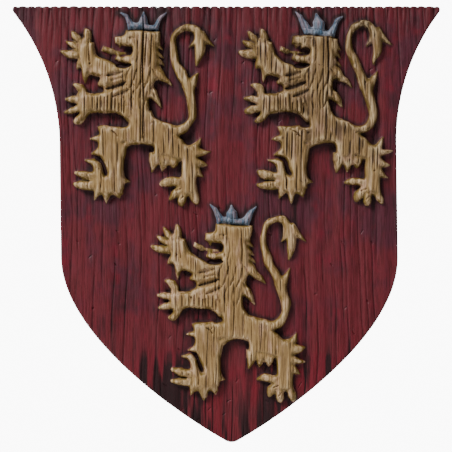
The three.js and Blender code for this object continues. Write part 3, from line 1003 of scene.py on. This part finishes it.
# The paints themselves, each patchy from the brush and from the wood that shows through.
dull_red = paint(94, 28, 36)
plum = paint(74, 29, 41)
crimson = paint(104, 24, 38)
bright_red = paint(118, 12, 26)
ground = (blotch + (band - 0.5) * 0.4).step(0.4, 0.64).mix(dull_red, plum)
ground = (patch * 0.6 + band * 0.6).step(0.62, 0.85).mix(ground, crimson)
ground = (lower_part * blotch.step(0.35, 0.6) * 0.6).mix(ground, bright_red)

# The olive is painted shade for the sloping flanks of the lions.
olive_flank_shade = paint(104, 84, 28)
beige = paint(146, 117, 75)
pale_beige = paint(176, 142, 112)
# The gold turns olive and darker towards each figure's outline and on its thin limbs: painted shade on the
# sloping flanks, beige over the full tops.
gold_with_flank_shade = (in_figure + (streak - 0.5) * 4).step(-0.2, 3).mix(olive_flank_shade, beige)
gold_with_flank_shade = (patch + (streak - 0.5) * 1.2).step(0.48, 0.8).mix(gold_with_flank_shade, pale_beige)

slate_blue = paint(48, 76, 98)
pale_grey = paint(130, 136, 148)
blue = (patch * 0.5 + streak).step(0.54, 0.98).mix(slate_blue, pale_grey)
coat = gold_area.mix(ground, gold_with_flank_shade)
coat = crown_area.mix(coat, blue)

# The dark wash and painted shade: wash in every line and in the hollows, wash and painted shade
# round the figures, wash in streaks down the field, painted shade along the top edge and over the
# two upper lions, heavier to the right, and a darker tone at the point.
bold_lines = (blotch * 1.2 + downward * 2.2).step(0.45, 1.0)
line_wash = in_lines.step(0.15, 0.9) * (0.34 + 0.34 * gold_area.larger(bold_lines))
hollow_wash = (in_hollow * -1).step(0.3, 3.2) * 0.75
# The field next to each figure and crown is darkened: wash gathered at their foot, and painted shade round
# them.
wash_and_shade_round_figures = in_figure.larger(in_crown).step(-6, 0.6) * field * 0.38
wash_and_shade_round_crowns = in_crown.step(-4.5, -0.5) * field * 0.4
stripe = (band * 0.8 + narrow_band * 0.6).step(0.68, 0.84) * field
stripe_wash = stripe * (lower_part * 0.3 + low_rim * 0.55 + blotch.step(0.46, 0.62) * 0.5)
# Painted shade along the top edge, and a darker tone at the point.
darkened_ends = top_edge * 0.3 + point_area * 0.22
# Painted shade over the two upper lions, heavier over the right one.
painted_shade_upper_lions = upper_part * gold_area * (0.2 + right_part * 0.26)
wash_and_shade = line_wash + hollow_wash + wash_and_shade_round_figures + wash_and_shade_round_crowns + stripe_wash + darkened_ends + painted_shade_upper_lions
wash_and_shade = (wash_and_shade * (0.7 + patch * 0.6)).step(0.0, 1.15)
red_black = paint(34, 6, 10)
brown_black = paint(46, 28, 10)
coat = wash_and_shade.mix(coat, gold_area.mix(red_black, brown_black))

# The high places, rubbed light, then a fine dark hair over everything and a plain brown back.
worn_red = paint(122, 32, 41)
worn_gold = paint(202, 178, 136)
rubbed = in_hollow.step(0.2, 1.3) * streak.step(0.42, 0.62) * (0.32 + gold_area * 0.16)
coat = rubbed.mix(coat, gold_area.mix(worn_red, worn_gold))
hair_tone = paint(208, 200, 192)
multiply = {"data_type": "RGBA", "blend_type": "MULTIPLY"}
haired = here.node("ShaderNodeMix", multiply, {"Factor": 1.0, "A": coat, "B": hair_tone})
coat = hair.step(0.42, 0.66).mix(coat, haired)
back_brown = paint(62, 34, 32)
back_tan = paint(88, 54, 48)
back = (patch * 0.5 + streak * 0.5).step(0.35, 0.65).mix(back_brown, back_tan)
coat = back_area.mix(coat, back)
tree.links.new(coat.socket, shader.inputs["Base Color"])

bare_roughness = 0.52
wash_roughness = 0.22
grit_roughness = 0.12
sheen = wash_and_shade * wash_roughness + bare_roughness + (grit - 0.5) * grit_roughness
tree.links.new(sheen.socket, shader.inputs["Roughness"])
bumps = hair * 0.6 + streak * 0.5 + grit * 0.25
bump_sockets = {"Strength": 0.5, "Distance": 0.0006, "Height": bumps}
uneven = here.node("ShaderNodeBump", sockets=bump_sockets)
tree.links.new(uneven.socket, shader.inputs["Normal"])
shader.inputs["Specular IOR Level"].default_value = 0.25
thinned.materials.clear()
thinned.materials.append(material)

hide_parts("heater_shield")
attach(plaque, "root")

# The studio: a pale floor well below the plaque, a pale surround, a large soft lamp above it in
# front and to the left, a weaker one for its back, and the camera square on to the face.
floor_mesh = bpy.data.meshes.new("studio_floor")
reach = 2.5
floor_drop = -0.8
corners = [(x * reach, y * reach, floor_drop) for x, y in ((-1, -1), (1, -1), (1, 1), (-1, 1))]
floor_mesh.from_pydata(corners, [], [(0, 1, 2, 3)])
floor = bpy.data.objects.new("studio_floor", floor_mesh)
bpy.context.scene.collection.objects.link(floor)
floor_material = bpy.data.materials.new("pale_floor")
floor_material.use_nodes = True
floor_shader = floor_material.node_tree.nodes["Principled BSDF"]
floor_shader.inputs["Base Color"].default_value = (0.85, 0.85, 0.85, 1)
floor_shader.inputs["Roughness"].default_value = 0.8
floor_mesh.materials.append(floor_material)

world = bpy.data.worlds.new("pale_surround")
world.use_nodes = True
surround = Wire(world.node_tree)
# The camera sees the surround bright, but on the plaque it only fills the lamps' shadows.
white = (1, 1, 1, 1)
seen_strength = 10.0
lighting_strength = 0.25
seen = surround.node("ShaderNodeBackground", sockets={"Color": white, "Strength": seen_strength})
given = surround.node("ShaderNodeBackground", sockets={"Color": white, "Strength": lighting_strength})
to_camera = surround.node("ShaderNodeLightPath")
both = surround.node("ShaderNodeMixShader", sockets={0: to_camera, 1: given, 2: seen})
world.node_tree.links.new(both.socket, world.node_tree.nodes["World Output"].inputs["Surface"])
bpy.context.scene.world = world


def lamp(name, place, size, watts):
    light = bpy.data.lights.new(name, "AREA")
    light.size = size
    light.energy = watts
    holder = bpy.data.objects.new(name, light)
    holder.location = place
    holder.rotation_euler = (-Vector(place)).to_track_quat("-Z", "Y").to_euler()
    bpy.context.scene.collection.objects.link(holder)


lamp("key", place=(-2.2, -2.1, 2.8), size=1.0, watts=262)
lamp("behind", place=(1.2, 2.6, 1.6), size=1.2, watts=90)

# The photograph's frame in pixels, the shield's height in it and where the shield's middle is.
photo_pixels = 452
shield_pixels = 437
shield_middle = (226.25, 224)
pixel = height / shield_pixels
photo_middle = photo_pixels / 2
picture_x = (photo_middle - shield_middle[0]) * pixel
picture_z = (shield_middle[1] - photo_middle) * pixel
lens = 100.0
sensor = 36
camera_data = bpy.data.cameras.new("camera")
camera_data.lens = lens
camera_data.sensor_width = sensor
camera = bpy.data.objects.new("camera", camera_data)
distance = photo_pixels * pixel * lens / sensor
camera.location = Vector((picture_x, -distance - thickness, picture_z)) * MM
camera.rotation_euler = (math.pi / 2, 0, 0)
bpy.context.scene.collection.objects.link(camera)
bpy.context.scene.camera = camera
